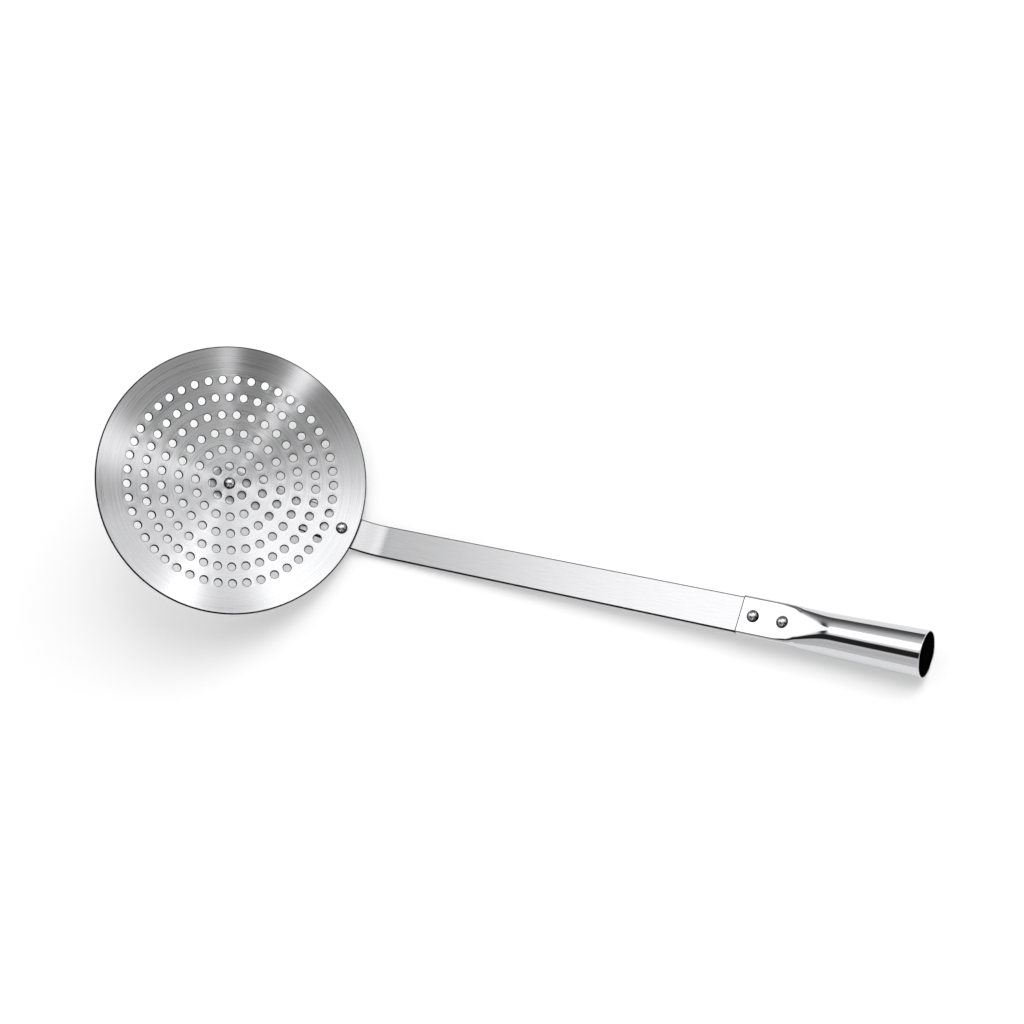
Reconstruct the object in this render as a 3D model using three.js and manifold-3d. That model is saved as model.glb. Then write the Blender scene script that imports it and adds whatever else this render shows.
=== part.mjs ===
// Stainless skimmer: a perforated spun dish riveted to a flat strap handle,
// whose far end is riveted into a sheet-metal socket for a round pole.
// Millimetres, +Z up. It lies face up, on the strap's bend and the socket's mouth,
// with the handle along +X.

import * as THREE from 'three';
import { mergeGeometries, mergeVertices } from 'three/addons/utils/BufferGeometryUtils.js';
import Module from 'manifold-3d';

const wasm = await Module();
wasm.setup();

// Dish
const DISH_RADIUS = 90;
const DISH_DEPTH = 16;
const DISH_SHEET = 1.5;
const HOLE_DIAMETER = 5.2;
const HOLE_SPACING = 9.7;
const RING_STEP = 11.5;
const RIM_BORDER = 17.5;
const PATTERN_TURN = 293.5;

// Strap
const STRAP_WIDTH = 21.5;
const STRAP_END_WIDTH = 23.2;
const STRAP_THICKNESS = 3;
const STRAP_TAIL = 13;
const STRAP_LENGTH = 257;
const TANG_END = 9.3;
const BEND_INSET = 2;
const BEND_LENGTH = 25;
const HANDLE_ANGLE = 38;
const HANDLE_CRANK = 4;

// Socket
const SOCKET_LENGTH = 120;
const SOCKET_WALL = 0.8;
const SOCKET_BLEND = 30;
const MOUTH_DIAMETER = 29.6;
const MOUTH_DROP = 4.6;

// Rivets
const HEAD_DIAMETER = 8;
const HEAD_HEIGHT = 2.7;
const SHANK_DIAMETER = 4;
const TAIL_DIAMETER = 7;
const TAIL_HEIGHT = 1.6;
const RIM_RIVET_INSET = 10;
const SOCKET_RIVET_INSET = 9;
const SOCKET_RIVET_PITCH = 19.7;

// Clearance between pieces that touch
const FIT = 0.3;

// Facets
const HOLE_SIDES = 8;
const RIVET_SIDES = 20;
const TAIL_STEPS = 10;
const BEND_STEPS = 8;
const CORNER_STEPS = 8;
const SOCKET_STEPS = 16;

const rad = THREE.MathUtils.degToRad;
const { smoothstep, lerp } = THREE.MathUtils;
const vec = (x, y, z) => new THREE.Vector3(x, y, z);

// Derived sizes of the dish: its inner face is part of a ball that passes through the rim
const innerBall = (DISH_RADIUS ** 2 + DISH_DEPTH ** 2) / (2 * DISH_DEPTH);
const outerBall = innerBall + DISH_SHEET;
const strapBall = outerBall + FIT;
const ballHeight = innerBall - DISH_DEPTH;
const boreRadius = SHANK_DIAMETER / 2 + FIT;

// Places along the socket: its rivets, the end of its flat part and the end of the strap inside it
const socketRivets = [SOCKET_RIVET_INSET, SOCKET_RIVET_INSET + SOCKET_RIVET_PITCH];
const flatEnd = socketRivets[1] + HEAD_DIAMETER / 2 + FIT;
const tangEnd = socketRivets[1] + TANG_END;

// Solids for cutting, and meshes from them
const toSolid = (geometry) => {
  const bare = geometry.clone();
  bare.deleteAttribute('normal');
  bare.deleteAttribute('uv');
  const merged = mergeVertices(bare, 1e-4);
  const vertProperties = Float32Array.from(merged.attributes.position.array);
  const triVerts = Uint32Array.from(merged.index.array);
  return new wasm.Manifold(new wasm.Mesh({ numProp: 3, vertProperties, triVerts }));
};

const toGeometry = (solid) => {
  const mesh = solid.getMesh();
  const geometry = new THREE.BufferGeometry();
  geometry.setAttribute('position', new THREE.BufferAttribute(mesh.vertProperties, 3));
  geometry.setIndex(new THREE.BufferAttribute(mesh.triVerts, 1));
  return geometry;
};

const cut = (geometry, cutters) => {
  const holes = toSolid(mergeGeometries(cutters));
  return toGeometry(toSolid(geometry).subtract(holes));
};

// A skin over rings of equally many points, each counted anticlockwise seen from ahead.
// A ring of rings closes on itself, and an open row of rings gets two end faces.
const skin = (rings, closed) => {
  const count = rings[0].length;
  const points = rings.flat().flatMap((p) => [p.x, p.y, p.z]);
  const index = [];
  const spans = closed ? rings.length : rings.length - 1;
  for (let i = 0; i < spans; i += 1) {
    const next = (i + 1) % rings.length;
    for (let j = 0; j < count; j += 1) {
      const a = i * count + j;
      const b = i * count + ((j + 1) % count);
      const c = next * count + j;
      const d = next * count + ((j + 1) % count);
      index.push(a, b, d, a, d, c);
    }
  }
  if (!closed) {
    const last = (rings.length - 1) * count;
    for (let j = 1; j < count - 1; j += 1) {
      index.push(0, j + 1, j, last, last + j, last + j + 1);
    }
  }
  const geometry = new THREE.BufferGeometry();
  geometry.setAttribute('position', new THREE.Float32BufferAttribute(points, 3));
  geometry.setIndex(index);
  return geometry;
};

// A drill along Z, centred on the origin
const drill = (radius, length, sides) => {
  const geometry = new THREE.CylinderGeometry(radius, radius, length, sides);
  return geometry.rotateX(Math.PI / 2);
};

// Moves a shape from the origin to the dish's ball, at an angle out from the axis and a turn
// around it, with its own Z along the ball's radius
const onBall = (geometry, radius, angle, turn) => {
  geometry.translate(0, 0, -radius);
  geometry.rotateY(-angle);
  geometry.rotateZ(turn);
  return geometry.translate(0, 0, ballHeight);
};

// Dish: rings of holes, each hole in its own patch of the sheet
const ringCount = Math.floor((DISH_RADIUS - RIM_BORDER - HOLE_DIAMETER / 2) / RING_STEP);
const rimRivetAngle = Math.asin((DISH_RADIUS - RIM_RIVET_INSET) / innerBall);
const fullTurn = 2 * Math.PI;

// Bores for the dish's two rivets, and for the socket's two in the handle's own frame
const dishBores = (ball, depth) => {
  const bore = () => drill(boreRadius, depth, RIVET_SIDES);
  return [onBall(bore(), ball, 0, 0), onBall(bore(), ball, rimRivetAngle, 0)];
};
const socketBores = (depth) => {
  const bore = () => drill(boreRadius, depth, RIVET_SIDES);
  return socketRivets.map((run) => bore().translate(STRAP_LENGTH + run, 0, 0));
};

// Each ring starts at the same turn. Rings hold an even and an odd number of holes by turns,
// so that they line up there and stagger on the far side.
const ringHoles = (ring) => {
  const fits = (fullTurn * ring * RING_STEP) / HOLE_SPACING;
  return ring % 2 === 0 ? 2 * Math.floor(fits / 2) + 1 : 2 * Math.round(fits / 2);
};

// Angles of the seams between a ring's patches
const ringSeams = (ring) => {
  const count = ringHoles(ring);
  return Array.from({ length: count }, (_, i) => rad(PATTERN_TURN) + (fullTurn * (i - 0.5)) / count);
};

// Seams of a neighbouring ring that fall inside a patch, in order
const seamsBetween = (seams, from, to) => {
  const past = seams.map((seam) => THREE.MathUtils.euclideanModulo(seam - from, fullTurn));
  const within = past.filter((gap) => gap > 1e-6 && gap < to - from - 1e-6);
  return within.sort((p, q) => p - q).map((gap) => from + gap);
};

const polar = (radius, angle) => new THREE.Vector2(radius * Math.cos(angle), radius * Math.sin(angle));

// Lifts a point of the plan onto the inner or the outer face of the sheet
const lifted = (plan, ball) => {
  const share = ball / innerBall;
  const height = Math.sqrt(innerBall ** 2 - plan.lengthSq());
  return [plan.x * share, plan.y * share, ballHeight - height * share];
};

const buildDish = () => {
  const corners = [];
  const patch = (contour, hole) => {
    const plan = [...contour, ...hole];
    for (const [a, b, c] of THREE.ShapeUtils.triangulateShape(contour, hole.length ? [hole] : [])) {
      corners.push(lifted(plan[a], innerBall), lifted(plan[b], innerBall), lifted(plan[c], innerBall));
      corners.push(lifted(plan[a], outerBall), lifted(plan[c], outerBall), lifted(plan[b], outerBall));
    }
  };
  const wall = (from, to) => {
    const [a, b] = [lifted(from, innerBall), lifted(from, outerBall)];
    const [c, d] = [lifted(to, outerBall), lifted(to, innerBall)];
    corners.push(a, b, c, a, c, d);
  };

  // The middle, and the ring patches
  patch(ringSeams(1).map((seam) => polar(RING_STEP / 2, seam)), []);
  for (let ring = 1; ring <= ringCount; ring += 1) {
    const seams = ringSeams(ring);
    const inside = ring > 1 ? ringSeams(ring - 1) : [];
    const outside = ring < ringCount ? ringSeams(ring + 1) : [];
    const width = fullTurn / seams.length;
    for (const from of seams) {
      const to = from + width;
      const outer = [from, ...seamsBetween(outside, from, to), to];
      const inner = [from, ...seamsBetween(inside, from, to), to].reverse();
      const contour = outer.map((angle) => polar((ring + 0.5) * RING_STEP, angle));
      contour.push(...inner.map((angle) => polar((ring - 0.5) * RING_STEP, angle)));
      const middle = polar(ring * RING_STEP, from + width / 2);
      const hole = [];
      for (let i = 0; i < HOLE_SIDES; i += 1) {
        hole.push(polar(HOLE_DIAMETER / 2, from - (fullTurn * i) / HOLE_SIDES).add(middle));
      }
      patch(contour, hole);
      hole.forEach((point, i) => wall(point, hole[(i + 1) % HOLE_SIDES]));
    }
  }

  // The plain border and the rim's edge
  const seams = ringSeams(ringCount);
  const width = fullTurn / seams.length;
  for (const from of seams) {
    const edge = [from, from + width / 2, from + width].map((angle) => polar(DISH_RADIUS, angle));
    const border = [from + width, from].map((angle) => polar((ringCount + 0.5) * RING_STEP, angle));
    patch([...edge, ...border], []);
    wall(edge[0], edge[1]);
    wall(edge[1], edge[2]);
  }

  const sheet = new THREE.BufferGeometry();
  sheet.setAttribute('position', new THREE.Float32BufferAttribute(corners.flat(), 3));
  return cut(sheet, dishBores((innerBall + outerBall) / 2, DISH_SHEET * 4));
};

// Strap's path: along the back of the dish, up through the bend past the rim, then straight.
// Each station holds the middle of its front face, the way ahead, the way across and a width.
const stations = [];
const tailAngle = -STRAP_TAIL / strapBall;
const bendAngle = Math.asin((DISH_RADIUS - BEND_INSET) / strapBall);
const roundEnd = STRAP_WIDTH / 2;

const addStation = (point, pitch, crank, width) => {
  const ahead = vec(Math.cos(pitch) * Math.cos(crank), Math.cos(pitch) * Math.sin(crank), Math.sin(pitch));
  const across = vec(-Math.sin(crank), Math.cos(crank), 0);
  stations.push({ point, ahead, across, front: ahead.clone().cross(across), width });
};

const onStrapBall = (angle) => vec(strapBall * Math.sin(angle), 0, ballHeight - strapBall * Math.cos(angle));

// The tail's rounded end, then the rest of the tail
for (let i = 1; i <= TAIL_STEPS / 2; i += 1) {
  const turn = ((Math.PI / 2) * i) / (TAIL_STEPS / 2);
  const angle = tailAngle + (roundEnd * (1 - Math.cos(turn))) / strapBall;
  addStation(onStrapBall(angle), angle, 0, STRAP_WIDTH * Math.sin(turn));
}
const straightTail = tailAngle + roundEnd / strapBall;
for (let i = 1; i <= TAIL_STEPS; i += 1) {
  const angle = lerp(straightTail, bendAngle, i / TAIL_STEPS);
  addStation(onStrapBall(angle), angle, 0, STRAP_WIDTH);
}

// The bend, which also turns the handle a little sideways
let bendPoint = onStrapBall(bendAngle);
for (let i = 1; i <= BEND_STEPS; i += 1) {
  const middle = (i - 0.5) / BEND_STEPS;
  const pitch = lerp(bendAngle, rad(HANDLE_ANGLE), middle);
  const crank = rad(HANDLE_CRANK) * middle;
  const step = vec(Math.cos(pitch) * Math.cos(crank), Math.cos(pitch) * Math.sin(crank), Math.sin(pitch));
  bendPoint = bendPoint.clone().addScaledVector(step, BEND_LENGTH / BEND_STEPS);
  const share = i / BEND_STEPS;
  addStation(bendPoint, lerp(bendAngle, rad(HANDLE_ANGLE), share), rad(HANDLE_CRANK) * share, STRAP_WIDTH);
}

// The straight handle widens towards the socket and keeps that width inside it
const bendEnd = stations[stations.length - 1];
for (const [run, width] of [[STRAP_LENGTH, STRAP_END_WIDTH], [STRAP_LENGTH + tangEnd, STRAP_END_WIDTH]]) {
  stations.push({ ...bendEnd, point: bendEnd.point.clone().addScaledVector(bendEnd.ahead, run), width });
}

// The handle's own frame: X along it, Y across, Z out of its front, on the strap's middle plane
const handleFrame = new THREE.Matrix4().makeBasis(bendEnd.ahead, bendEnd.across, bendEnd.front);
handleFrame.setPosition(bendEnd.point.clone().addScaledVector(bendEnd.front, -STRAP_THICKNESS / 2));

const buildStrap = () => {
  const rings = stations.map(({ point, across, front, width }) => {
    const left = point.clone().addScaledVector(across, width / 2);
    const right = point.clone().addScaledVector(across, -width / 2);
    const under = (p) => p.clone().addScaledVector(front, -STRAP_THICKNESS);
    return [left, right, under(right), under(left)];
  });
  const depth = STRAP_THICKNESS * 3;
  const cutters = dishBores(strapBall + STRAP_THICKNESS / 2, depth);
  cutters.push(...socketBores(depth).map((bore) => bore.applyMatrix4(handleFrame)));
  return cut(skin(rings, false), cutters);
};

// Socket's section at a distance from its strap end, drawn in by the wall for the inside:
// a rectangle with round corners that grows into a circle
const flatHalfWidth = STRAP_END_WIDTH / 2 + FIT + SOCKET_WALL;
const flatHalfHeight = STRAP_THICKNESS / 2 + FIT + SOCKET_WALL;

const socketRing = (run, inset) => {
  const grow = smoothstep(run, flatEnd, flatEnd + SOCKET_BLEND);
  const widen = Math.max(0, (run - flatEnd) / (SOCKET_LENGTH - flatEnd));
  const halfWidth = lerp(flatHalfWidth, MOUTH_DIAMETER / 2, widen);
  const halfHeight = lerp(flatHalfHeight, halfWidth, grow);
  const corner = lerp(SOCKET_WALL + FIT, halfHeight, Math.min(1, grow * 3)) * 0.98;
  const drop = MOUTH_DROP * grow;
  const ring = [];
  for (const [sideY, sideZ, start] of [[1, 1, 0], [-1, 1, 1], [-1, -1, 2], [1, -1, 3]]) {
    for (let i = 0; i <= CORNER_STEPS; i += 1) {
      const turn = (Math.PI / 2) * (start + i / CORNER_STEPS);
      const y = sideY * (halfWidth - corner) + (corner - inset) * Math.cos(turn);
      const z = sideZ * (halfHeight - corner) + (corner - inset) * Math.sin(turn);
      ring.push(vec(STRAP_LENGTH + run, y, z - drop));
    }
  }
  return ring;
};

const buildSocket = () => {
  const runs = [0];
  for (let i = 0; i <= SOCKET_STEPS; i += 1) {
    runs.push(lerp(flatEnd, SOCKET_LENGTH, (i / SOCKET_STEPS) ** 1.4));
  }
  const outside = runs.map((run) => socketRing(run, 0));
  const inside = runs.map((run) => socketRing(run, SOCKET_WALL)).reverse();
  return cut(skin([...outside, ...inside], true), socketBores(flatHalfHeight * 3));
};

// Rivet with a domed head, its origin on the face under the head and its shank down -Z,
// set over a stack of sheets of the given thickness
const buildRivet = (stack) => {
  const shank = SHANK_DIAMETER / 2;
  const dome = (radius, height, steps) => {
    const ball = (radius ** 2 + height ** 2) / (2 * height);
    const spread = Math.asin(Math.min(1, radius / ball));
    const arc = [];
    for (let i = 0; i <= steps; i += 1) {
      const angle = (spread * i) / steps;
      arc.push([ball * Math.sin(angle), height - ball * (1 - Math.cos(angle))]);
    }
    return arc;
  };
  const head = dome(HEAD_DIAMETER / 2, HEAD_HEIGHT, 7).map(([x, y]) => [x, y + FIT]);
  const tail = dome(TAIL_DIAMETER / 2, TAIL_HEIGHT, 5).map(([x, y]) => [x, -stack - FIT - y]).reverse();
  const profile = [...head, [shank, FIT], [shank, -stack - FIT], ...tail];
  const points = profile.map(([x, y]) => new THREE.Vector2(x, y)).reverse();
  return new THREE.LatheGeometry(points, RIVET_SIDES).rotateX(Math.PI / 2);
};

// Materials
const steel = (color, roughness) => new THREE.MeshStandardMaterial({ color, roughness, metalness: 1 });
const mesh = (name, geometry, material) => {
  const piece = new THREE.Mesh(geometry, material);
  piece.name = name;
  return piece;
};

const dish = mesh('dish', buildDish(), steel(0xc4c4c6, 0.34));
const strap = mesh('strap', buildStrap(), steel(0xd0d0d0, 0.38));
const socket = mesh('socket', buildSocket(), steel(0xd8d8da, 0.1));

// The dish's rivets hold the dish and the strap
const dishStack = DISH_SHEET + FIT + STRAP_THICKNESS;
const centreRivet = mesh('centre_rivet', buildRivet(dishStack), steel(0xcacaca, 0.16));
centreRivet.position.set(0, 0, -DISH_DEPTH);
const rimRivet = mesh('rim_rivet', buildRivet(dishStack), steel(0xcacaca, 0.16));
const rimRivetHeight = ballHeight - innerBall * Math.cos(rimRivetAngle);
rimRivet.position.set(DISH_RADIUS - RIM_RIVET_INSET, 0, rimRivetHeight);
rimRivet.rotation.y = -rimRivetAngle;

// The socket's rivets hold its two walls and the strap between them
const handle = new THREE.Group();
handle.applyMatrix4(handleFrame);
handle.add(socket);
socketRivets.forEach((run, i) => {
  const rivet = mesh(`socket_rivet_${i + 1}`, buildRivet(2 * flatHalfHeight), steel(0xcacaca, 0.16));
  rivet.position.set(STRAP_LENGTH + run, 0, flatHalfHeight);
  handle.add(rivet);
});

// At rest: the handle runs along +X, raised so that the bend and the mouth lie on the ground
const body = new THREE.Group();
body.add(dish, strap, centreRivet, rimRivet, handle);
const mouthLow = MOUTH_DROP + MOUTH_DIAMETER / 2 - STRAP_THICKNESS / 2;
const lift = Math.atan2(mouthLow, STRAP_LENGTH + SOCKET_LENGTH);
const toHandle = new THREE.Matrix4().makeBasis(bendEnd.ahead, bendEnd.across, bendEnd.front).invert();
const raise = new THREE.Matrix4().makeRotationY(-lift);
body.applyMatrix4(raise.multiply(toHandle));

// Origin under the middle of the whole
const skimmer = new THREE.Group();
skimmer.add(body);
skimmer.updateMatrixWorld(true);
const bounds = new THREE.Box3().setFromObject(skimmer, true);
const centre = bounds.getCenter(vec(0, 0, 0));
skimmer.position.set(-centre.x, -centre.y, -bounds.min.z);

export default skimmer;
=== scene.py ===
# A stainless kitchen skimmer: a spun perforated dish on a riveted strap with a polished pole socket.
# Every piece is built in millimetres in the dish's or the handle's own frame, then set in place.

import math

import bmesh
import bpy
from mathutils import Matrix, Vector


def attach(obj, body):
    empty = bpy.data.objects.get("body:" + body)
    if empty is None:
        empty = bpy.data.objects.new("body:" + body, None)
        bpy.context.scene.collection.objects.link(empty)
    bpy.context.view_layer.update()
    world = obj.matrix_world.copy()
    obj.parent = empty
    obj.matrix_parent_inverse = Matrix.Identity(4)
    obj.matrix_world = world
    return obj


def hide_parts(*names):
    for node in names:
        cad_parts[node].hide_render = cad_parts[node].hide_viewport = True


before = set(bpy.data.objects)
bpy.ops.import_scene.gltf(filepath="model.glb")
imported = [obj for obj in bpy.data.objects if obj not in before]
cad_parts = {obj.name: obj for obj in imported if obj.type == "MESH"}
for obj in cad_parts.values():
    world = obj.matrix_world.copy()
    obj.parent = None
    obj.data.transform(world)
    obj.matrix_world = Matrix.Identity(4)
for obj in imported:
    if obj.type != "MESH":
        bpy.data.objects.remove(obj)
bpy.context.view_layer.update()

MM = 0.001

# Dish
DISH_RADIUS = 90
DISH_DEPTH = 16
DISH_SHEET = 1.5
HOLE_DIAMETER = 5.2
HOLE_SPACING = 9.7
RING_STEP = 11.5
RIM_BORDER = 17.5
PATTERN_TURN = 293.5
# How far the punch rolls over the front edges of the holes and the rim
PUNCHED_EDGE = 0.45
# A hole's cell reaches this share of the step between rings, inwards and outwards
CELL_SHARE = 0.41

# Strap
STRAP_WIDTH = 21.5
STRAP_END_WIDTH = 23.2
STRAP_THICKNESS = 3
STRAP_TAIL = 13
STRAP_LENGTH = 257
TANG_END = 9.3
BEND_INSET = 2
BEND_LENGTH = 25
HANDLE_ANGLE = 38
HANDLE_CRANK = 4
STRAP_EDGE = 0.7
# At the tip of the round end, the rounded edges take at most this share of the half width
TIP_SHARE = 0.9
# The bar's edges keep the satin steel up to here, measured from the dish's middle; beyond it their sheared
# sides are painted dark as shade
UNSHADED_TAIL = 52
# Faces that lean further than this towards the bar's side belong to its sheared edge
SHEARED_LEAN = 0.2

# Socket
SOCKET_LENGTH = 120
SOCKET_WALL = 0.8
SOCKET_BLEND = 30
MOUTH_DIAMETER = 29.6
MOUTH_DROP = 4.6
FOLD_RADIUS = 2
# The flat begins to swell this much earlier than the solid, so that no crease shows
SOCKET_EASE = 9
# The corners round off this many times faster than the flat swells
CORNER_LEAD = 3
# A corner's share of the half height, just short of a full round so that no face closes up
ROUNDNESS = 0.98
# The rings of the swell crowd towards its start by this power
SWELL_CROWDING = 1.3
SOCKET_LIP = 0.7
MOUTH_LIP = 0.4
SOCKET_EDGE = 0.3

# Rivets
HEAD_DIAMETER = 8
HEAD_HEIGHT = 2.7
SHANK_DIAMETER = 4
TAIL_DIAMETER = 7
TAIL_HEIGHT = 1.6
RIM_RIVET_INSET = 10
SOCKET_RIVET_INSET = 9
SOCKET_RIVET_PITCH = 19.7
RIVET_EDGE = 0.25

# Clearance between pieces that touch
FIT = 0.3

# How finely the round shapes are drawn
HOLE_SIDES = 24
BORDER_STEPS = 5
ROUND_END_STEPS = 12
TAIL_STEPS = 28
BEND_STEPS = 24
HANDLE_STEPS = 12
STRAP_EDGE_STEPS = 3
CORNER_STEPS = 20
FLAT_STEPS = 6
SOCKET_STEPS = 60
RIVET_SIDES = 48
HEAD_STEPS = 16
SET_STEPS = 10
# Points closer than this are merged, and a point this near a circle lies on it
MERGE_DISTANCE = 1e-3
CIRCLE_REACH = 0.01

# Where the middle of the dish's rim lies in the part's frame
DISH_PLACE = (-198.873, 0, 59.922)

# Sizes that follow
inner_ball = (DISH_RADIUS ** 2 + DISH_DEPTH ** 2) / (2 * DISH_DEPTH)
strap_ball = inner_ball + DISH_SHEET + FIT
ball_height = inner_ball - DISH_DEPTH
full_turn = 2 * math.pi
socket_rivets = (SOCKET_RIVET_INSET, SOCKET_RIVET_INSET + SOCKET_RIVET_PITCH)
flat_end = socket_rivets[1] + HEAD_DIAMETER / 2 + FIT
tang_end = socket_rivets[1] + TANG_END
flat_half_width = STRAP_END_WIDTH / 2 + FIT + SOCKET_WALL
flat_half_height = STRAP_THICKNESS / 2 + FIT + SOCKET_WALL


def lerp(a, b, share):
    return a + (b - a) * share


def smooth_share(value, low, high):
    share = min(1, max(0, (value - low) / (high - low)))
    return share * share * (3 - 2 * share)


def turned(bearing, height, roll):
    """The turn that takes X to a bearing and a height, in degrees, and then rolls Y and Z about it."""
    swing = Matrix.Rotation(math.radians(bearing), 3, "Z")
    tip = Matrix.Rotation(math.radians(-height), 3, "Y")
    return swing @ tip @ Matrix.Rotation(math.radians(roll), 3, "X")


# Frames: places along the strap's path, then the handle's frame within the dish's, and both in the part
def path_frame(point, pitch, crank):
    reach = math.cos(pitch)
    ahead = Vector((reach * math.cos(crank), reach * math.sin(crank), math.sin(pitch)))
    across = Vector((-math.sin(crank), math.cos(crank), 0))
    front = ahead.cross(across)
    turn = Matrix((ahead, across, front)).transposed()
    return Matrix.Translation(point) @ turn.to_4x4()


def on_strap_ball(angle):
    point = Vector((strap_ball * math.sin(angle), 0, ball_height - strap_ball * math.cos(angle)))
    return path_frame(point, angle, 0)


tail_angle = -STRAP_TAIL / strap_ball
bend_angle = math.asin((DISH_RADIUS - BEND_INSET) / strap_ball)
handle_pitch = math.radians(HANDLE_ANGLE)
handle_crank = math.radians(HANDLE_CRANK)


def bend_frames():
    point = on_strap_ball(bend_angle).translation
    frames = []
    for i in range(1, BEND_STEPS + 1):
        middle = (i - 0.5) / BEND_STEPS
        step = path_frame((0, 0, 0), lerp(bend_angle, handle_pitch, middle), handle_crank * middle)
        point = point + step.col[0].xyz * (BEND_LENGTH / BEND_STEPS)
        share = i / BEND_STEPS
        frames.append(path_frame(point, lerp(bend_angle, handle_pitch, share), handle_crank * share))
    return frames


bend = bend_frames()
handle_in_dish = bend[-1] @ Matrix.Translation((0, 0, -STRAP_THICKNESS / 2))
mouth_low = MOUTH_DROP + MOUTH_DIAMETER / 2 - STRAP_THICKNESS / 2
lift = math.atan2(mouth_low, STRAP_LENGTH + SOCKET_LENGTH)
level = Matrix.Rotation(-lift, 4, "Y") @ bend[-1].to_3x3().transposed().to_4x4()
dish_frame = Matrix.Translation(DISH_PLACE) @ level
handle_frame = dish_frame @ handle_in_dish


# Materials
def linear(hex_code):
    channels = (int(hex_code[i:i + 2], 16) / 255 for i in (1, 3, 5))
    return [c / 12.92 if c <= 0.04045 else ((c + 0.055) / 1.055) ** 2.4 for c in channels] + [1.0]


def add_node(tree, kind, settings=None, **links):
    """Adds a node, sets its properties and sockets, and links what feeds it."""
    node = tree.nodes.new(kind)
    for name, value in (settings or {}).items():
        if isinstance(name, str) and hasattr(node, name):
            setattr(node, name, value)
        else:
            node.inputs[name].default_value = value
    for name, source in links.items():
        key = int(name[1:]) if name[0] == "i" and name[1:].isdigit() else name.replace("_", " ")
        tree.links.new(source, node.inputs[key])
    return node


def new_material(name):
    material = bpy.data.materials.new(name)
    material.use_nodes = True
    material.node_tree.nodes.clear()
    return material, material.node_tree


def spun_stainless():
    """Stainless sheet brushed in circles on a lathe: fine rings, and light drawn out along the radius."""
    material, tree = new_material("spun_brushed_stainless")
    place = add_node(tree, "ShaderNodeTexCoord").outputs["Object"]
    middle = dish_frame.translation * MM
    axis = dish_frame.col[2].xyz
    out = add_node(tree, "ShaderNodeVectorMath", {"operation": "SUBTRACT", 1: middle}, i0=place).outputs[0]
    along = add_node(tree, "ShaderNodeVectorMath", {"operation": "DOT_PRODUCT", 1: axis}, i0=out)
    rise = add_node(tree, "ShaderNodeVectorMath", {"operation": "SCALE", 0: axis},
                    Scale=along.outputs["Value"])
    radial = add_node(tree, "ShaderNodeVectorMath", {"operation": "SUBTRACT"}, i0=out, i1=rise.outputs[0])
    radius = add_node(tree, "ShaderNodeVectorMath", {"operation": "LENGTH"}, i0=radial.outputs[0])
    heading = add_node(tree, "ShaderNodeVectorMath", {"operation": "NORMALIZE"}, i0=radial.outputs[0])
    # Rings about 0.6 mm apart, as coarse as they need to be to show, running on for part of a turn
    spread = add_node(tree, "ShaderNodeVectorMath", {"operation": "SCALE", "Scale": 1.3},
                      i0=heading.outputs[0])
    across = add_node(tree, "ShaderNodeMath", {"operation": "MULTIPLY", 1: 1 / (0.6 * MM)},
                      i0=radius.outputs["Value"])
    stretch = add_node(tree, "ShaderNodeVectorMath", {"operation": "SCALE", 0: axis}, Scale=across.outputs[0])
    polar = add_node(tree, "ShaderNodeVectorMath", {"operation": "ADD"},
                     i0=spread.outputs[0], i1=stretch.outputs[0])
    rings = add_node(tree, "ShaderNodeTexNoise", {"Scale": 1.0, "Detail": 3.0, "Roughness": 0.6},
                     Vector=polar.outputs[0])
    tone = add_node(tree, "ShaderNodeValToRGB", i0=rings.outputs[0])
    tone.color_ramp.elements[0].position = 0.3
    tone.color_ramp.elements[0].color = linear("#c2c2c4")
    tone.color_ramp.elements[1].position = 0.7
    tone.color_ramp.elements[1].color = linear("#dededf")
    rough = add_node(tree, "ShaderNodeMapRange", {"To Min": 0.2, "To Max": 0.4}, Value=rings.outputs[0])
    bump = add_node(tree, "ShaderNodeBump", {"Strength": 0.2, "Distance": 0.05 * MM}, Height=rings.outputs[0])
    steel = add_node(tree, "ShaderNodeBsdfPrincipled", {"Metallic": 1.0, "Anisotropic": 0.97},
                     Base_Color=tone.outputs[0], Roughness=rough.outputs[0], Normal=bump.outputs[0],
                     Tangent=heading.outputs[0])
    add_node(tree, "ShaderNodeOutputMaterial", Surface=steel.outputs[0])
    return material


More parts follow.
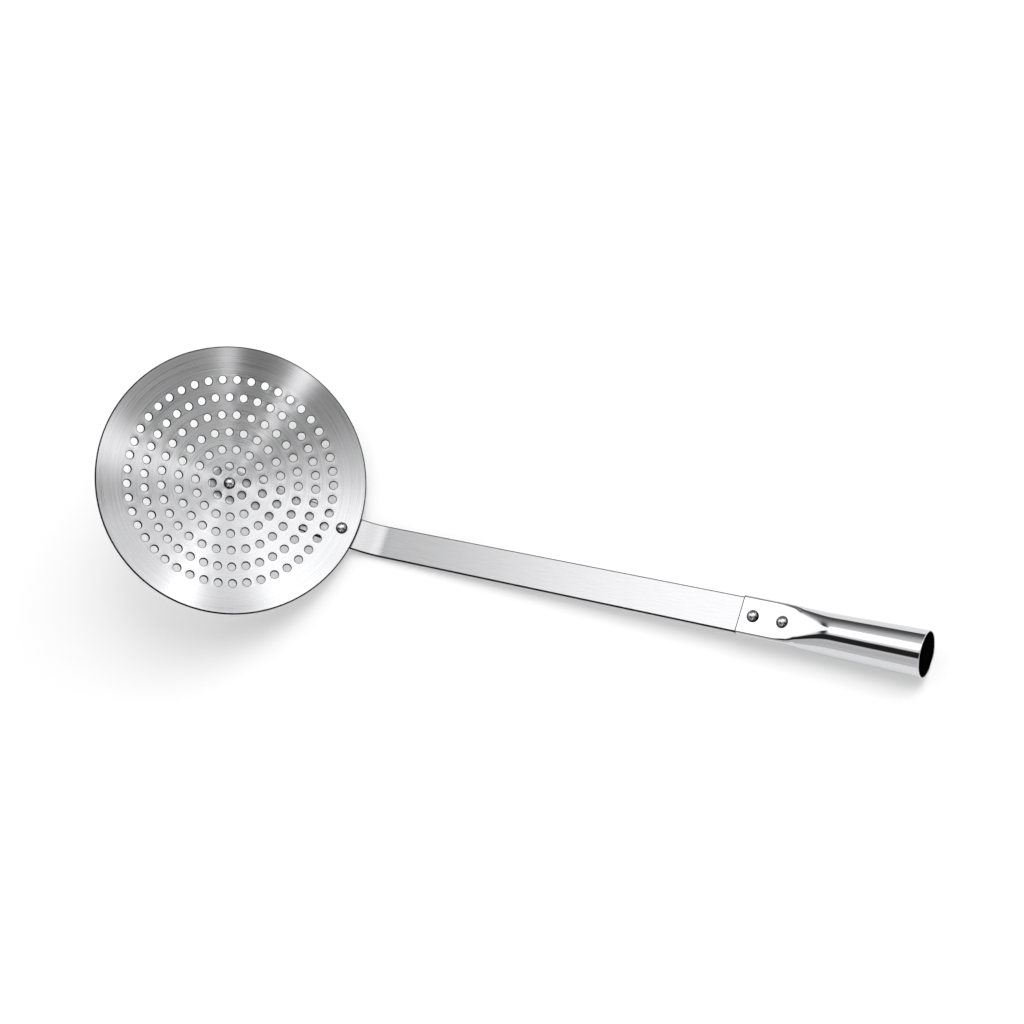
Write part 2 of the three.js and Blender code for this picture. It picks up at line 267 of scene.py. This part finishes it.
def satin_stainless():
    """Stainless bar with a fine satin grain along its length, drawing what it mirrors out across it."""
    material, tree = new_material("satin_stainless")
    place = add_node(tree, "ShaderNodeTexCoord").outputs["Object"]
    # Scratches 0.5 mm wide and 30 mm long
    scratch = (1 / (30 * MM), 1 / (0.5 * MM), 1 / (0.5 * MM))
    grain = add_node(tree, "ShaderNodeMapping", {"Scale": scratch}, Vector=place)
    lines = add_node(tree, "ShaderNodeTexNoise", {"Scale": 1.0, "Detail": 2.0}, Vector=grain.outputs[0])
    tone = add_node(tree, "ShaderNodeValToRGB", i0=lines.outputs[0])
    tone.color_ramp.elements[0].position = 0.25
    tone.color_ramp.elements[0].color = linear("#d0d0d1")
    tone.color_ramp.elements[1].position = 0.75
    tone.color_ramp.elements[1].color = linear("#dedee0")
    rough = add_node(tree, "ShaderNodeMapRange", {"To Min": 0.22, "To Max": 0.28}, Value=lines.outputs[0])
    bump = add_node(tree, "ShaderNodeBump", {"Strength": 0.02, "Distance": 0.03 * MM},
                    Height=lines.outputs[0])
    # The bend is duller, where bending has opened the grain: from 60 mm before the handle to 5 mm along it
    along = handle_frame.col[0].xyz
    across = handle_frame.col[1].xyz
    run = add_node(tree, "ShaderNodeVectorMath", {"operation": "DOT_PRODUCT", 1: along}, i0=place)
    start = along.dot(handle_frame.translation) * MM
    bend_reach = {"From Min": start - 60 * MM, "From Max": start + 5 * MM, "To Min": 0.3, "To Max": 0.0}
    dull = add_node(tree, "ShaderNodeMapRange", bend_reach, Value=run.outputs["Value"])
    rough = add_node(tree, "ShaderNodeMath", {"operation": "ADD"}, i0=rough.outputs[0], i1=dull.outputs[0])
    width = add_node(tree, "ShaderNodeCombineXYZ", {"X": across.x, "Y": across.y, "Z": across.z})
    steel = add_node(tree, "ShaderNodeBsdfPrincipled", {"Metallic": 1.0, "Anisotropic": 0.9},
                     Base_Color=tone.outputs[0], Roughness=rough.outputs[0], Normal=bump.outputs[0],
                     Tangent=width.outputs[0])
    add_node(tree, "ShaderNodeOutputMaterial", Surface=steel.outputs[0])
    return material


def mirror_stainless():
    """Polished stainless: a near mirror, clouded by handling and faintly rippled by forming."""
    material, tree = new_material("mirror_polished_stainless")
    place = add_node(tree, "ShaderNodeTexCoord").outputs["Object"]
    # Clouding in patches of about 8 mm
    haze = add_node(tree, "ShaderNodeTexNoise", {"Scale": 1 / (8 * MM), "Detail": 4.0}, Vector=place)
    rough = add_node(tree, "ShaderNodeMapRange", {"To Min": 0.03, "To Max": 0.09}, Value=haze.outputs[0])
    # Ripple left by forming, about 12 mm across
    ripple = add_node(tree, "ShaderNodeTexNoise", {"Scale": 1 / (12 * MM), "Detail": 1.0}, Vector=place)
    bump = add_node(tree, "ShaderNodeBump", {"Strength": 0.16, "Distance": 0.2 * MM},
                    Height=ripple.outputs[0])
    steel = add_node(tree, "ShaderNodeBsdfPrincipled", {"Metallic": 1.0, "Base Color": linear("#d2d2d4")},
                     Roughness=rough.outputs[0], Normal=bump.outputs[0])
    add_node(tree, "ShaderNodeOutputMaterial", Surface=steel.outputs[0])
    return material


def rivet_painted_light_stainless():
    """Rivet steel, painted by height up the head: a painted highlight on the crown and painted shade, near
    black, on the flank.
    """
    material, tree = new_material("rivet_stainless_painted_highlight_and_shade")
    crown = add_node(tree, "ShaderNodeAttribute", {"attribute_name": "crown"})
    # The colour runs from painted shade, near black, on the flank to a painted highlight on the crown
    tone = add_node(tree, "ShaderNodeValToRGB", i0=crown.outputs["Fac"])
    tone.color_ramp.elements[0].position = 0.4
    tone.color_ramp.elements[0].color = linear("#262628")
    tone.color_ramp.elements[1].position = 1.0
    tone.color_ramp.elements[1].color = linear("#d2d2d4")
    steel = add_node(tree, "ShaderNodeBsdfPrincipled", {"Metallic": 1.0, "Roughness": 0.18},
                     Base_Color=tone.outputs[0])
    add_node(tree, "ShaderNodeOutputMaterial", Surface=steel.outputs[0])
    return material


def edge_shade_stainless():
    """The sheared edge of stainless sheet and bar, mottled by the blade, and painted near black as the shade
    that falls in gaps, hole walls and rolled edges.
    """
    material, tree = new_material("sheared_edge_painted_shade")
    place = add_node(tree, "ShaderNodeTexCoord").outputs["Object"]
    # Blade marks about 0.4 mm apart
    marks = add_node(tree, "ShaderNodeTexNoise", {"Scale": 1 / (0.4 * MM), "Detail": 2.0}, Vector=place)
    # Near-black tones: painted shade for the edges, mottled by the blade marks
    tone = add_node(tree, "ShaderNodeValToRGB", i0=marks.outputs[0])
    tone.color_ramp.elements[0].color = linear("#131314")
    tone.color_ramp.elements[1].color = linear("#232324")
    rough = add_node(tree, "ShaderNodeMapRange", {"To Min": 0.4, "To Max": 0.6}, Value=marks.outputs[0])
    steel = add_node(tree, "ShaderNodeBsdfPrincipled", {"Metallic": 1.0, "Specular Tint": linear("#909092")},
                     Base_Color=tone.outputs[0], Roughness=rough.outputs[0])
    add_node(tree, "ShaderNodeOutputMaterial", Surface=steel.outputs[0])
    return material


dish_steel = spun_stainless()
edge_shade_steel = edge_shade_stainless()
strap_steel = satin_stainless()
socket_steel = mirror_stainless()
rivet_steel = rivet_painted_light_stainless()


# Pieces
def add_object(name, data):
    made = bpy.data.objects.new(name, data)
    bpy.context.scene.collection.objects.link(made)
    return made


def finish_piece(bm, name, place, material, node):
    """Sets a shape in the part's frame, in metres, and lets it stand for its solid."""
    bmesh.ops.transform(bm, matrix=Matrix.Scale(MM, 4) @ place, verts=bm.verts)
    mesh = bpy.data.meshes.new(name)
    bm.to_mesh(mesh)
    bm.free()
    mesh.shade_smooth()
    mesh.materials.append(material)
    piece = add_object(name, mesh)
    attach(piece, "root")
    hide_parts(node)
    return piece


def even_shading(piece):
    """Lets the broad faces set the shading, so that they look flat up to their edges."""
    normals = piece.modifiers.new("normals", "WEIGHTED_NORMAL")
    normals.keep_sharp = True


def round_edges(piece, width, segments, angle):
    bevel = piece.modifiers.new("edges", "BEVEL")
    bevel.width = width * MM
    bevel.segments = segments
    bevel.limit_method = "ANGLE"
    bevel.angle_limit = math.radians(angle)
    even_shading(piece)


def draw_out(bm, loop, places):
    """Extrudes a closed loop of vertices through lists of places, and returns the last loop."""
    for ring in places:
        edges = [bm.edges.get((loop[i], loop[i - 1])) for i in range(len(loop))]
        made = set(bmesh.ops.extrude_edge_only(bm, edges=edges)["geom"])
        loop = [next(far for far in (e.other_vert(vert) for e in vert.link_edges) if far in made)
                for vert in loop]
        for vert, place in zip(loop, ring):
            vert.co = place
    return loop


# Dish: a ring of holes is one cell, drawn out from a hole's edge and copied round
ring_count = math.floor((DISH_RADIUS - RIM_BORDER - HOLE_DIAMETER / 2) / RING_STEP)


def ring_holes(ring):
    """As many holes as the spacing fits, even in odd rings and odd in even ones."""
    fits = full_turn * ring * RING_STEP / HOLE_SPACING
    return 2 * math.floor(fits / 2) + 1 if ring % 2 == 0 else 2 * math.floor(fits / 2 + 0.5)


def hole_cell(bm, ring):
    """One hole with its share of the ring's band, still flat."""
    radius = ring * RING_STEP
    half_turn = math.pi / ring_holes(ring)
    hole = bmesh.ops.create_circle(bm, segments=HOLE_SIDES, radius=HOLE_DIAMETER / 2)["verts"]
    edges = list({e for v in hole for e in v.link_edges})
    made = bmesh.ops.extrude_edge_only(bm, edges=edges)["geom"]
    outline = [v for v in made if isinstance(v, bmesh.types.BMVert)]
    for vert in outline:
        share = vert.co.xy / max(abs(vert.co.x), abs(vert.co.y))
        reach = radius + share.x * RING_STEP * CELL_SHARE
        turn = share.y * half_turn
        vert.co = (reach * math.cos(turn), reach * math.sin(turn), 0)
    bmesh.ops.translate(bm, vec=(radius, 0, 0), verts=hole)
    return hole + outline


def build_dish():
    bm = bmesh.new()
    for ring in range(1, ring_count + 1):
        cell = hole_cell(bm, ring)
        count = ring_holes(ring)
        faces = list({f for v in cell for f in v.link_faces})
        bmesh.ops.rotate(bm, cent=(0, 0, 0), matrix=turned(PATTERN_TURN, 0, 0), verts=cell)
        bmesh.ops.spin(bm, geom=faces, cent=(0, 0, 0), axis=(0, 0, 1), dvec=(0, 0, 0),
                       angle=full_turn * (count - 1) / count, steps=count - 1, use_duplicate=True)
    bmesh.ops.remove_doubles(bm, verts=bm.verts, dist=MERGE_DISTANCE)

    # The plain bands between the rings
    def circle_edges(radius):
        return [e for e in bm.edges if e.is_boundary
                and all(abs(v.co.length - radius) < CIRCLE_REACH for v in e.verts)]

    for ring in range(1, ring_count):
        outer = circle_edges((ring + CELL_SHARE) * RING_STEP)
        inner = circle_edges((ring + 1 - CELL_SHARE) * RING_STEP)
        bmesh.ops.bridge_loops(bm, edges=outer + inner)

    # The middle, down to the rivet's bore, and the plain border up to the rim
    def widen(start, stops):
        edges = circle_edges(start)
        for stop in stops:
            made = bmesh.ops.extrude_edge_only(bm, edges=edges)["geom"]
            for vert in made:
                if isinstance(vert, bmesh.types.BMVert):
                    vert.co = vert.co.normalized() * stop
            edges = [e for e in made if isinstance(e, bmesh.types.BMEdge)]

    widen((1 - CELL_SHARE) * RING_STEP, (HEAD_DIAMETER / 2, SHANK_DIAMETER / 2 + FIT))
    border = (ring_count + CELL_SHARE) * RING_STEP
    widen(border, [lerp(border, DISH_RADIUS, i / BORDER_STEPS) for i in range(1, BORDER_STEPS + 1)])

    # Front side up, then lifted on to the ball that the dish is part of
    bmesh.ops.recalc_face_normals(bm, faces=bm.faces)
    if sum(f.normal.z for f in bm.faces) < 0:
        bmesh.ops.reverse_faces(bm, faces=bm.faces)
    for vert in bm.verts:
        vert.co.z += ball_height - math.sqrt(inner_ball ** 2 - vert.co.xy.length_squared)

    # The sheet's thickness, with cut walls, and the front edges rolled over by the punch
    front = set(bm.faces)
    cuts = [e for e in bm.edges if e.is_boundary]
    made = bmesh.ops.extrude_face_region(bm, geom=bm.faces, use_keep_orig=True)["geom"]
    back = [v for v in made if isinstance(v, bmesh.types.BMVert)]
    grow = (inner_ball + DISH_SHEET) / inner_ball
    bmesh.ops.scale(bm, vec=(grow, grow, grow), space=Matrix.Translation((0, 0, -ball_height)), verts=back)
    # The cut walls and the rolled front edges take the near-black edge steel: painted shade, the dark outline
    # in the holes and round the rim
    for face in {f for e in cuts for f in e.link_faces} - front:
        face.material_index = 1
    rolled = bmesh.ops.bevel(bm, geom=cuts, offset=PUNCHED_EDGE, offset_type="OFFSET", affect="EDGES",
                             segments=2, profile=0.5, material=-1, clamp_overlap=True)
    for face in rolled["faces"]:
        face.material_index = 1
    bmesh.ops.recalc_face_normals(bm, faces=bm.faces)
    piece = finish_piece(bm, "dish_sheet", dish_frame, dish_steel, "dish")
    piece.data.materials.append(edge_shade_steel)
    even_shading(piece)


# Strap: a bar's section drawn out along its path
def strap_section(width):
    half = width / 2
    edge = min(STRAP_EDGE, half * TIP_SHARE)
    points = []
    for side_y, side_z, quarter in ((1, 0, 0), (-1, 0, 1), (-1, -1, 2), (1, -1, 3)):
        middle = Vector((0, side_y * (half - edge), -edge if side_z == 0 else edge - STRAP_THICKNESS))
        for i in range(STRAP_EDGE_STEPS + 1):
            turn = math.pi / 2 * (quarter + i / STRAP_EDGE_STEPS)
            points.append(middle + Vector((0, edge * math.cos(turn), edge * math.sin(turn))))
    return points


# A face on the bar's side beyond the tail, which takes the painted shade of the edge steel
def is_shaded_edge(face):
    return abs(face.normal.y) > SHEARED_LEAN and face.calc_center_median().x > UNSHADED_TAIL


def build_strap():
    stations = []
    round_end = STRAP_WIDTH / 2
    for i in range(1, ROUND_END_STEPS + 1):
        turn = math.pi / 2 * i / ROUND_END_STEPS
        angle = tail_angle + round_end * (1 - math.cos(turn)) / strap_ball
        stations.append((on_strap_ball(angle), STRAP_WIDTH * math.sin(turn)))
    straight = tail_angle + round_end / strap_ball
    for i in range(1, TAIL_STEPS + 1):
        stations.append((on_strap_ball(lerp(straight, bend_angle, i / TAIL_STEPS)), STRAP_WIDTH))
    stations.extend((place, STRAP_WIDTH) for place in bend)
    for i in range(1, HANDLE_STEPS + 1):
        share = i / HANDLE_STEPS
        place = bend[-1] @ Matrix.Translation((STRAP_LENGTH * share, 0, 0))
        stations.append((place, lerp(STRAP_WIDTH, STRAP_END_WIDTH, share)))
    stations.append((bend[-1] @ Matrix.Translation((STRAP_LENGTH + tang_end, 0, 0)), STRAP_END_WIDTH))

    rings = [[place @ p for p in strap_section(width)] for place, width in stations]
    bm = bmesh.new()
    loop = [bm.verts.new(p) for p in rings[0]]
    bm.faces.new(loop)
    last = draw_out(bm, loop, rings[1:])
    bm.faces.new(last)
    bmesh.ops.recalc_face_normals(bm, faces=bm.faces)
    # The bar's sheared sides beyond the tail take the near-black edge steel, as painted shade along its edges
    for face in bm.faces:
        face.material_index = int(is_shaded_edge(face))
    piece = finish_piece(bm, "strap_bar", dish_frame, strap_steel, "strap")
    piece.data.materials.append(edge_shade_steel)
    even_shading(piece)


# Socket: a flat sleeve that opens into a round tube
def socket_ring(run, inset):
    grow = smooth_share(run, flat_end - SOCKET_EASE, flat_end + SOCKET_BLEND)
    widen = max(0, (run - flat_end) / (SOCKET_LENGTH - flat_end))
    half_width = lerp(flat_half_width, MOUTH_DIAMETER / 2, widen)
    half_height = lerp(flat_half_height, half_width, grow)
    corner = lerp(FOLD_RADIUS, half_height, min(1, grow * CORNER_LEAD)) * ROUNDNESS
    drop = MOUTH_DROP * grow
    ring = []
    for side_y, side_z, quarter in ((1, 1, 0), (-1, 1, 1), (-1, -1, 2), (1, -1, 3)):
        for i in range(CORNER_STEPS + 1):
            turn = math.pi / 2 * (quarter + i / CORNER_STEPS)
            y = side_y * (half_width - corner) + (corner - inset) * math.cos(turn)
            z = side_z * (half_height - corner) + (corner - inset) * math.sin(turn)
            ring.append(Vector((STRAP_LENGTH + run, y, z - drop)))
    return ring


def build_socket():
    runs = [0, SOCKET_LIP, 2 * SOCKET_LIP] + [flat_end * i / FLAT_STEPS for i in range(1, FLAT_STEPS)]
    swell = [(i / SOCKET_STEPS) ** SWELL_CROWDING for i in range(SOCKET_STEPS + 1)]
    runs += [lerp(flat_end, SOCKET_LENGTH, share) for share in swell]
    runs.insert(-1, SOCKET_LENGTH - MOUTH_LIP)
    outside = [socket_ring(run, 0) for run in runs]
    inside = [socket_ring(run, SOCKET_WALL) for run in reversed(runs)]
    bm = bmesh.new()
    loop = [bm.verts.new(p) for p in outside[0]]
    for a, b in zip(loop, loop[1:] + loop[:1]):
        bm.edges.new((a, b))
    draw_out(bm, loop, outside[1:] + inside + [outside[0]])
    bmesh.ops.remove_doubles(bm, verts=bm.verts, dist=MERGE_DISTANCE)
    bmesh.ops.recalc_face_normals(bm, faces=bm.faces)
    # The first ring of faces is the sheared lip over the strap, painted dark as shade with the edge steel
    lip_end = STRAP_LENGTH + SOCKET_LIP + MERGE_DISTANCE
    for face in bm.faces:
        face.material_index = int(all(vert.co.x < lip_end for vert in face.verts))
    piece = finish_piece(bm, "socket_sleeve", handle_frame, socket_steel, "socket")
    piece.data.materials.append(edge_shade_steel)
    round_edges(piece, SOCKET_EDGE, segments=2, angle=50)


# Rivet: a domed head, a shank and a set tail, spun from their profile
def build_rivet(name, stack, place):
    shank = SHANK_DIAMETER / 2

    def dome(radius, height, steps):
        ball = (radius ** 2 + height ** 2) / (2 * height)
        spread = math.asin(min(1, radius / ball))
        return [(ball * math.sin(spread * i / steps), height - ball * (1 - math.cos(spread * i / steps)))
                for i in range(steps + 1)]

    head = [(x, y + FIT) for x, y in dome(HEAD_DIAMETER / 2, HEAD_HEIGHT, HEAD_STEPS)]
    tail = [(x, -stack - FIT - y) for x, y in reversed(dome(TAIL_DIAMETER / 2, TAIL_HEIGHT, SET_STEPS))]
    profile = head + [(shank, FIT), (shank, -stack - FIT)] + tail
    bm = bmesh.new()
    verts = [bm.verts.new((x, 0, z)) for x, z in profile]
    edges = [bm.edges.new(pair) for pair in zip(verts, verts[1:])]
    bmesh.ops.spin(bm, geom=verts + edges, cent=(0, 0, 0), axis=(0, 0, 1), dvec=(0, 0, 0),
                   angle=full_turn, steps=RIVET_SIDES, use_merge=True)
    bmesh.ops.remove_doubles(bm, verts=bm.verts, dist=MERGE_DISTANCE)
    bmesh.ops.recalc_face_normals(bm, faces=bm.faces)
    # How far up the head a place lies, which sets the painted highlight on the crown and the painted shade on
    # the flank
    crown = bm.verts.layers.float.new("crown")
    for vert in bm.verts:
        vert[crown] = max(0, vert.co.z - FIT) / HEAD_HEIGHT
    piece = finish_piece(bm, name + "_body", place, rivet_steel, name)
    round_edges(piece, RIVET_EDGE, segments=3, angle=50)


build_dish()
build_strap()
build_socket()
dish_stack = DISH_SHEET + FIT + STRAP_THICKNESS
build_rivet("centre_rivet", dish_stack, dish_frame @ Matrix.Translation((0, 0, -DISH_DEPTH)))
rim_angle = math.asin((DISH_RADIUS - RIM_RIVET_INSET) / inner_ball)
rim_place = Vector((DISH_RADIUS - RIM_RIVET_INSET, 0, ball_height - inner_ball * math.cos(rim_angle)))
rim_turn = Matrix.Translation(rim_place) @ Matrix.Rotation(-rim_angle, 4, "Y")
build_rivet("rim_rivet", dish_stack, dish_frame @ rim_turn)
for number, run in enumerate(socket_rivets, 1):
    spot = Matrix.Translation((STRAP_LENGTH + run, 0, flat_half_height))
    build_rivet(f"socket_rivet_{number}", 2 * flat_half_height, handle_frame @ spot)


# Camera, as it stood for the photograph: long lens, from over the handle's side, rolled
CAMERA_AIM = Vector((-1.2, 19, 50))
CAMERA_DISTANCE = 1527.1
CAMERA_BEARING = -29.11
CAMERA_HEIGHT = 62.11
CAMERA_ROLL = -46.17
SENSOR_WIDTH = 36
CAMERA_LENS = 84.375

camera_data = bpy.data.cameras.new("camera")
camera_data.sensor_width = SENSOR_WIDTH
camera_data.lens = CAMERA_LENS
camera_data.clip_end = 100
camera = add_object("camera", camera_data)
back, right, up = turned(CAMERA_BEARING, CAMERA_HEIGHT, CAMERA_ROLL).transposed()
camera_turn = Matrix((right, up, back)).transposed()
camera_place = (CAMERA_AIM + back * CAMERA_DISTANCE) * MM
camera.matrix_world = Matrix.Translation(camera_place) @ camera_turn.to_4x4()
bpy.context.scene.camera = camera


# Floor: pale paper that keeps the skimmer's shadow
FLOOR_HALF_WIDTH = 6
FLOOR_GLOW = 0.28


def white_floor():
    """Matt white paper, with a little glow where it is seen or mirrored, which takes it up to white."""
    material, tree = new_material("white_floor")
    rays = add_node(tree, "ShaderNodeLightPath")
    seen = add_node(tree, "ShaderNodeMath", {"operation": "MAXIMUM"}, i0=rays.outputs["Is Camera Ray"],
                    i1=rays.outputs["Is Glossy Ray"])
    seen = add_node(tree, "ShaderNodeMath", {"operation": "MAXIMUM"}, i0=seen.outputs[0],
                    i1=rays.outputs["Is Transmission Ray"])
    seen = add_node(tree, "ShaderNodeMath", {"operation": "MULTIPLY", 1: FLOOR_GLOW}, i0=seen.outputs[0])
    paper = add_node(tree, "ShaderNodeBsdfDiffuse", {"Color": linear("#d4d4d4")})
    glow = add_node(tree, "ShaderNodeEmission", {"Color": (1, 1, 1, 1)}, Strength=seen.outputs[0])
    both = add_node(tree, "ShaderNodeAddShader", i0=paper.outputs[0], i1=glow.outputs[0])
    add_node(tree, "ShaderNodeOutputMaterial", Surface=both.outputs[0])
    return material


floor_mesh = bpy.data.meshes.new("floor")
floor_shape = bmesh.new()
bmesh.ops.create_grid(floor_shape, x_segments=1, y_segments=1, size=FLOOR_HALF_WIDTH)
floor_shape.to_mesh(floor_mesh)
floor_shape.free()
floor_mesh.materials.append(white_floor())
floor = add_object("floor", floor_mesh)


# Light: a pale room that the steel mirrors, and a soft box overhead.
# A panel's middle is a bearing from +X and a height, in degrees. Its roll, half width and half height follow,
# also in degrees, then its soft edge as a share of its size, and its tone, where 1 is white.
# Later panels hide earlier ones.
ROOM_PANELS = (
    # Low and wide, that the round of the socket mirrors on either side
    (-118, 25, 12, 30, 17, 0.6, 0.65),
    (115, 5, 0, 37, 33, 0.8, 0.1),
    # Bright gaps and dark flags, that the dish's rings draw out into spokes: first behind it, then in front
    (55, 52, 83, 22, 31, 0.5, 2.5),
    (58, 29, 44, 6, 38, 0.5, 2.45),
    (81, 28, 47, 10, 17, 0.5, 0.01),
    (13, 18, -7, 6, 24, 0.5, 2.5),
    (29, 2, 10, 6, 19, 0.5, 0.05),
    (-54, 55, -67, 16, 35, 0.5, 0.1),
    (-73, 40, -48, 4.5, 35, 0.5, 2.7),
    (-46, 31, -49, 13, 44, 0.5, 0),
    (-46, 15, -41, 4, 26, 0.5, 2.7),
    (-10, 22, -32, 19, 41, 0.5, 0.1),
    # A glow for the middle of the dish
    (18, 49, 90, 6, 3.5, 0.5, 1.5),
    # Over the dish, for the handle: a dark skyline, and white for the socket's swell
    (180, 9, 0, 53, 11.5, 0.4, 0.04),
    (166, 34, -66, 14.5, 20.5, 0.4, 1.6),
    # White overhead for the strap's bend
    (135, 74, -44, 13, 13, 0.4, 1.6),
    # White for the strap's far end and the socket, and a flag with a gap that greys the strap's near end
    (152, 62, -59, 6, 13, 0.35, 2),
    (161, 53, -66, 4, 30, 0.6, 0.02),
    (161, 50.5, -66, 11.5, 5, 0.4, 1.55),
    # The black line along the tube
    (-136, 54, 40, 30, 14, 0.22, 0.02),
)


def studio_world():
    """A pale room, a little brighter overhead, with the panels in it. The camera sees plain white."""
    world = bpy.data.worlds.new("studio")
    world.use_nodes = True
    tree = world.node_tree
    tree.nodes.clear()
    way = add_node(tree, "ShaderNodeTexCoord").outputs["Generated"]
    rise = add_node(tree, "ShaderNodeSeparateXYZ", i0=way).outputs["Z"]
    tone = add_node(tree, "ShaderNodeMapRange", {"From Max": 0.9, "To Min": 0.9, "To Max": 1.0}, Value=rise)
    for bearing, height, roll, half_width, half_height, edge, level in ROOM_PANELS:
        middle, side, over = turned(bearing, height, roll).transposed()
        side /= math.sin(math.radians(half_width))
        over /= math.sin(math.radians(half_height))
        x = add_node(tree, "ShaderNodeVectorMath", {"operation": "DOT_PRODUCT", 1: side}, i0=way)
        y = add_node(tree, "ShaderNodeVectorMath", {"operation": "DOT_PRODUCT", 1: over}, i0=way)
        front = add_node(tree, "ShaderNodeVectorMath", {"operation": "DOT_PRODUCT", 1: middle}, i0=way)
        spot = add_node(tree, "ShaderNodeCombineXYZ", X=x.outputs["Value"], Y=y.outputs["Value"])
        reach = add_node(tree, "ShaderNodeVectorMath", {"operation": "LENGTH"}, i0=spot.outputs[0])
        fade = {"interpolation_type": "SMOOTHSTEP", "From Min": 1 + edge, "From Max": 1 - edge}
        share = add_node(tree, "ShaderNodeMapRange", fade, Value=reach.outputs["Value"])
        ahead = add_node(tree, "ShaderNodeMath", {"operation": "GREATER_THAN", 1: 0.0},
                         i0=front.outputs["Value"])
        cover = add_node(tree, "ShaderNodeMath", {"operation": "MULTIPLY"},
                         i0=share.outputs[0], i1=ahead.outputs[0])
        tone = add_node(tree, "ShaderNodeMapRange", {"To Max": level},
                        Value=cover.outputs[0], To_Min=tone.outputs[0])
    rays = add_node(tree, "ShaderNodeLightPath")
    shown = add_node(tree, "ShaderNodeMapRange", {"To Max": 1.0},
                     Value=rays.outputs["Is Camera Ray"], To_Min=tone.outputs[0])
    room = add_node(tree, "ShaderNodeBackground", {"Color": (1, 1, 1, 1)}, Strength=shown.outputs[0])
    add_node(tree, "ShaderNodeOutputWorld", Surface=room.outputs[0])
    bpy.context.scene.world = world


def soft_box(name, place, aim, size, power):
    lamp = bpy.data.lights.new(name, "AREA")
    lamp.shape = "DISK"
    lamp.size = size
    lamp.energy = power
    box = add_object(name, lamp)
    way = (Vector(place) - Vector(aim)).to_track_quat("Z", "Y")
    box.matrix_world = Matrix.Translation(place) @ way.to_matrix().to_4x4()
    box.visible_glossy = False


studio_world()
soft_box("overhead", place=(0.7, 0.75, 1.9), aim=(0, 0, 0), size=1.5, power=18)
bpy.context.scene.view_settings.view_transform = "Standard"
